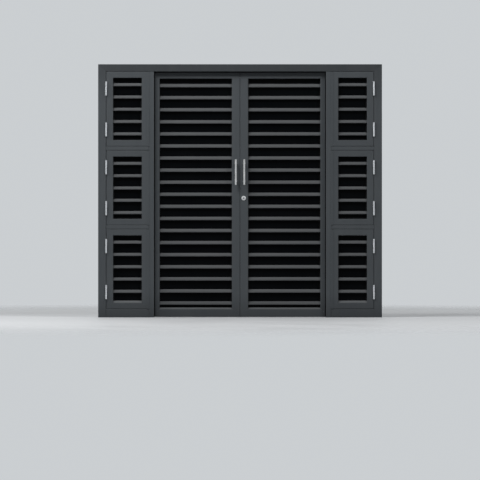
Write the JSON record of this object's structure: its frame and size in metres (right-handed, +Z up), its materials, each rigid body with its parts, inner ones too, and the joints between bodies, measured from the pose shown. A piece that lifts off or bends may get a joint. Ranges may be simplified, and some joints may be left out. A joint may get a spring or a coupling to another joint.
{
  "type": "louvred steel window",
  "caption": "Louvred steel window: a pair of full-height inward-opening leaves between columns of outward-opening casements, with fixed blades, dark panes, pulls and a key lock.",
  "frame": {"origin": "at floor level under the meeting line of the two leaves, in the middle of their thickness", "axes": "+Z up, +X to the right seen from outside, outside face towards -Y"},
  "size_m": [2.4, 0.1485, 2.14],
  "materials": {
    "painted_steel": "satin dark grey powder coat over steel tube",
    "blade_paint": "satin mid grey powder coat over folded sheet",
    "dark_pane": "dark tinted glass",
    "seal_rubber": "matt black rubber",
    "zinc_steel": "zinc-plated steel",
    "stainless": "satin stainless steel"
  },
  "bodies": {
    "frame": {"head": "painted_steel", "left_jamb": "painted_steel", "left_mullion": "painted_steel", "left_sill": "painted_steel", "right_jamb": "painted_steel", "right_mullion": "painted_steel", "right_sill": "painted_steel", "transoms": "painted_steel", "frame_seals": "seal_rubber", "casement_hinge_pins": "zinc_steel", "leaf_hinge_pins": "zinc_steel"},
    "left_leaf": {"left_leaf_frame": "painted_steel", "left_leaf_louvres": "blade_paint", "left_leaf_pane": "dark_pane", "left_leaf_hinge_sleeves": "zinc_steel", "left_pull_handles": "stainless", "strike_plate": "zinc_steel", "flush_bolt_guides": "zinc_steel"},
    "right_leaf": {"right_leaf_frame": "painted_steel", "right_leaf_louvres": "blade_paint", "right_leaf_pane": "dark_pane", "right_leaf_hinge_sleeves": "zinc_steel", "right_pull_handles": "stainless", "lock_case": "zinc_steel", "lock_cylinder": "stainless"},
    "upper_left_casement": {"upper_left_casement_frame": "painted_steel", "upper_left_casement_louvres": "blade_paint", "upper_left_casement_pane": "dark_pane", "upper_left_casement_fittings": "zinc_steel"},
    "upper_left_casement_bolt": {"upper_left_casement_bolt": "stainless"},
    "middle_left_casement": {"middle_left_casement_frame": "painted_steel", "middle_left_casement_louvres": "blade_paint", "middle_left_casement_pane": "dark_pane", "middle_left_casement_fittings": "zinc_steel"},
    "middle_left_casement_bolt": {"middle_left_casement_bolt": "stainless"},
    "lower_left_casement": {"lower_left_casement_frame": "painted_steel", "lower_left_casement_louvres": "blade_paint", "lower_left_casement_pane": "dark_pane", "lower_left_casement_fittings": "zinc_steel"},
    "lower_left_casement_bolt": {"lower_left_casement_bolt": "stainless"},
    "upper_right_casement": {"upper_right_casement_frame": "painted_steel", "upper_right_casement_louvres": "blade_paint", "upper_right_casement_pane": "dark_pane", "upper_right_casement_fittings": "zinc_steel"},
    "upper_right_casement_bolt": {"upper_right_casement_bolt": "stainless"},
    "middle_right_casement": {"middle_right_casement_frame": "painted_steel", "middle_right_casement_louvres": "blade_paint", "middle_right_casement_pane": "dark_pane", "middle_right_casement_fittings": "zinc_steel"},
    "middle_right_casement_bolt": {"middle_right_casement_bolt": "stainless"},
    "lower_right_casement": {"lower_right_casement_frame": "painted_steel", "lower_right_casement_louvres": "blade_paint", "lower_right_casement_pane": "dark_pane", "lower_right_casement_fittings": "zinc_steel"},
    "lower_right_casement_bolt": {"lower_right_casement_bolt": "stainless"},
    "top_flush_bolt": {"top_flush_bolt": "stainless"},
    "bottom_flush_bolt": {"bottom_flush_bolt": "stainless"},
    "lock_turn": {"lock_plug": "zinc_steel", "thumb_turn": "stainless"},
    "deadbolt": {"deadbolt": "zinc_steel"}
  },
  "joints": [
    {"name": "left_leaf_swing", "type": "hinge", "parent": "frame", "child": "left_leaf", "pos_m": [-0.7505, 0.0265, 1.0515], "axis": [0, 0, 1], "range_deg": [0, 100]},
    {"name": "right_leaf_swing", "type": "hinge", "parent": "frame", "child": "right_leaf", "pos_m": [0.7505, 0.0265, 1.0515], "axis": [0, 0, -1], "range_deg": [0, 100]},
    {"name": "upper_left_casement_swing", "type": "hinge", "parent": "frame", "child": "upper_left_casement", "pos_m": [-1.1315, -0.0685, 1.7615], "axis": [0, 0, -1], "range_deg": [0, 170]},
    {"name": "upper_left_casement_bolt_slide", "type": "slide", "parent": "upper_left_casement", "child": "upper_left_casement_bolt", "axis": [1, 0, 0], "range_m": [0, 0.014]},
    {"name": "middle_left_casement_swing", "type": "hinge", "parent": "frame", "child": "middle_left_casement", "pos_m": [-1.1315, -0.0685, 1.0955], "axis": [0, 0, -1], "range_deg": [0, 170]},
    {"name": "middle_left_casement_bolt_slide", "type": "slide", "parent": "middle_left_casement", "child": "middle_left_casement_bolt", "axis": [1, 0, 0], "range_m": [0, 0.014]},
    {"name": "lower_left_casement_swing", "type": "hinge", "parent": "frame", "child": "lower_left_casement", "pos_m": [-1.1315, -0.0685, 0.408], "axis": [0, 0, -1], "range_deg": [0, 170]},
    {"name": "lower_left_casement_bolt_slide", "type": "slide", "parent": "lower_left_casement", "child": "lower_left_casement_bolt", "axis": [1, 0, 0], "range_m": [0, 0.014]},
    {"name": "upper_right_casement_swing", "type": "hinge", "parent": "frame", "child": "upper_right_casement", "pos_m": [1.1315, -0.0685, 1.7615], "axis": [0, 0, 1], "range_deg": [0, 170]},
    {"name": "upper_right_casement_bolt_slide", "type": "slide", "parent": "upper_right_casement", "child": "upper_right_casement_bolt", "axis": [-1, 0, 0], "range_m": [0, 0.014]},
    {"name": "middle_right_casement_swing", "type": "hinge", "parent": "frame", "child": "middle_right_casement", "pos_m": [1.1315, -0.0685, 1.0955], "axis": [0, 0, 1], "range_deg": [0, 170]},
    {"name": "middle_right_casement_bolt_slide", "type": "slide", "parent": "middle_right_casement", "child": "middle_right_casement_bolt", "axis": [-1, 0, 0], "range_m": [0, 0.014]},
    {"name": "lower_right_casement_swing", "type": "hinge", "parent": "frame", "child": "lower_right_casement", "pos_m": [1.1315, -0.0685, 0.408], "axis": [0, 0, 1], "range_deg": [0, 170]},
    {"name": "lower_right_casement_bolt_slide", "type": "slide", "parent": "lower_right_casement", "child": "lower_right_casement_bolt", "axis": [-1, 0, 0], "range_m": [0, 0.014]},
    {"name": "top_flush_bolt_slide", "type": "slide", "parent": "left_leaf", "child": "top_flush_bolt", "axis": [0, 0, 1], "range_m": [0, 0.02]},
    {"name": "bottom_flush_bolt_slide", "type": "slide", "parent": "left_leaf", "child": "bottom_flush_bolt", "axis": [0, 0, -1], "range_m": [0, 0.02]},
    {"name": "lock_turn", "type": "hinge", "parent": "right_leaf", "child": "lock_turn", "pos_m": [0.031, 0, 1.008], "axis": [0, -1, 0], "range_deg": [0, 90]},
    {"name": "deadbolt_slide", "type": "slide", "parent": "right_leaf", "child": "deadbolt", "axis": [-1, 0, 0], "range_m": [0, 0.018]}
  ],
  "couplings": [
    {"joint": "deadbolt_slide", "follows": "lock_turn", "m_per_rad": 0.011459}
  ]
}
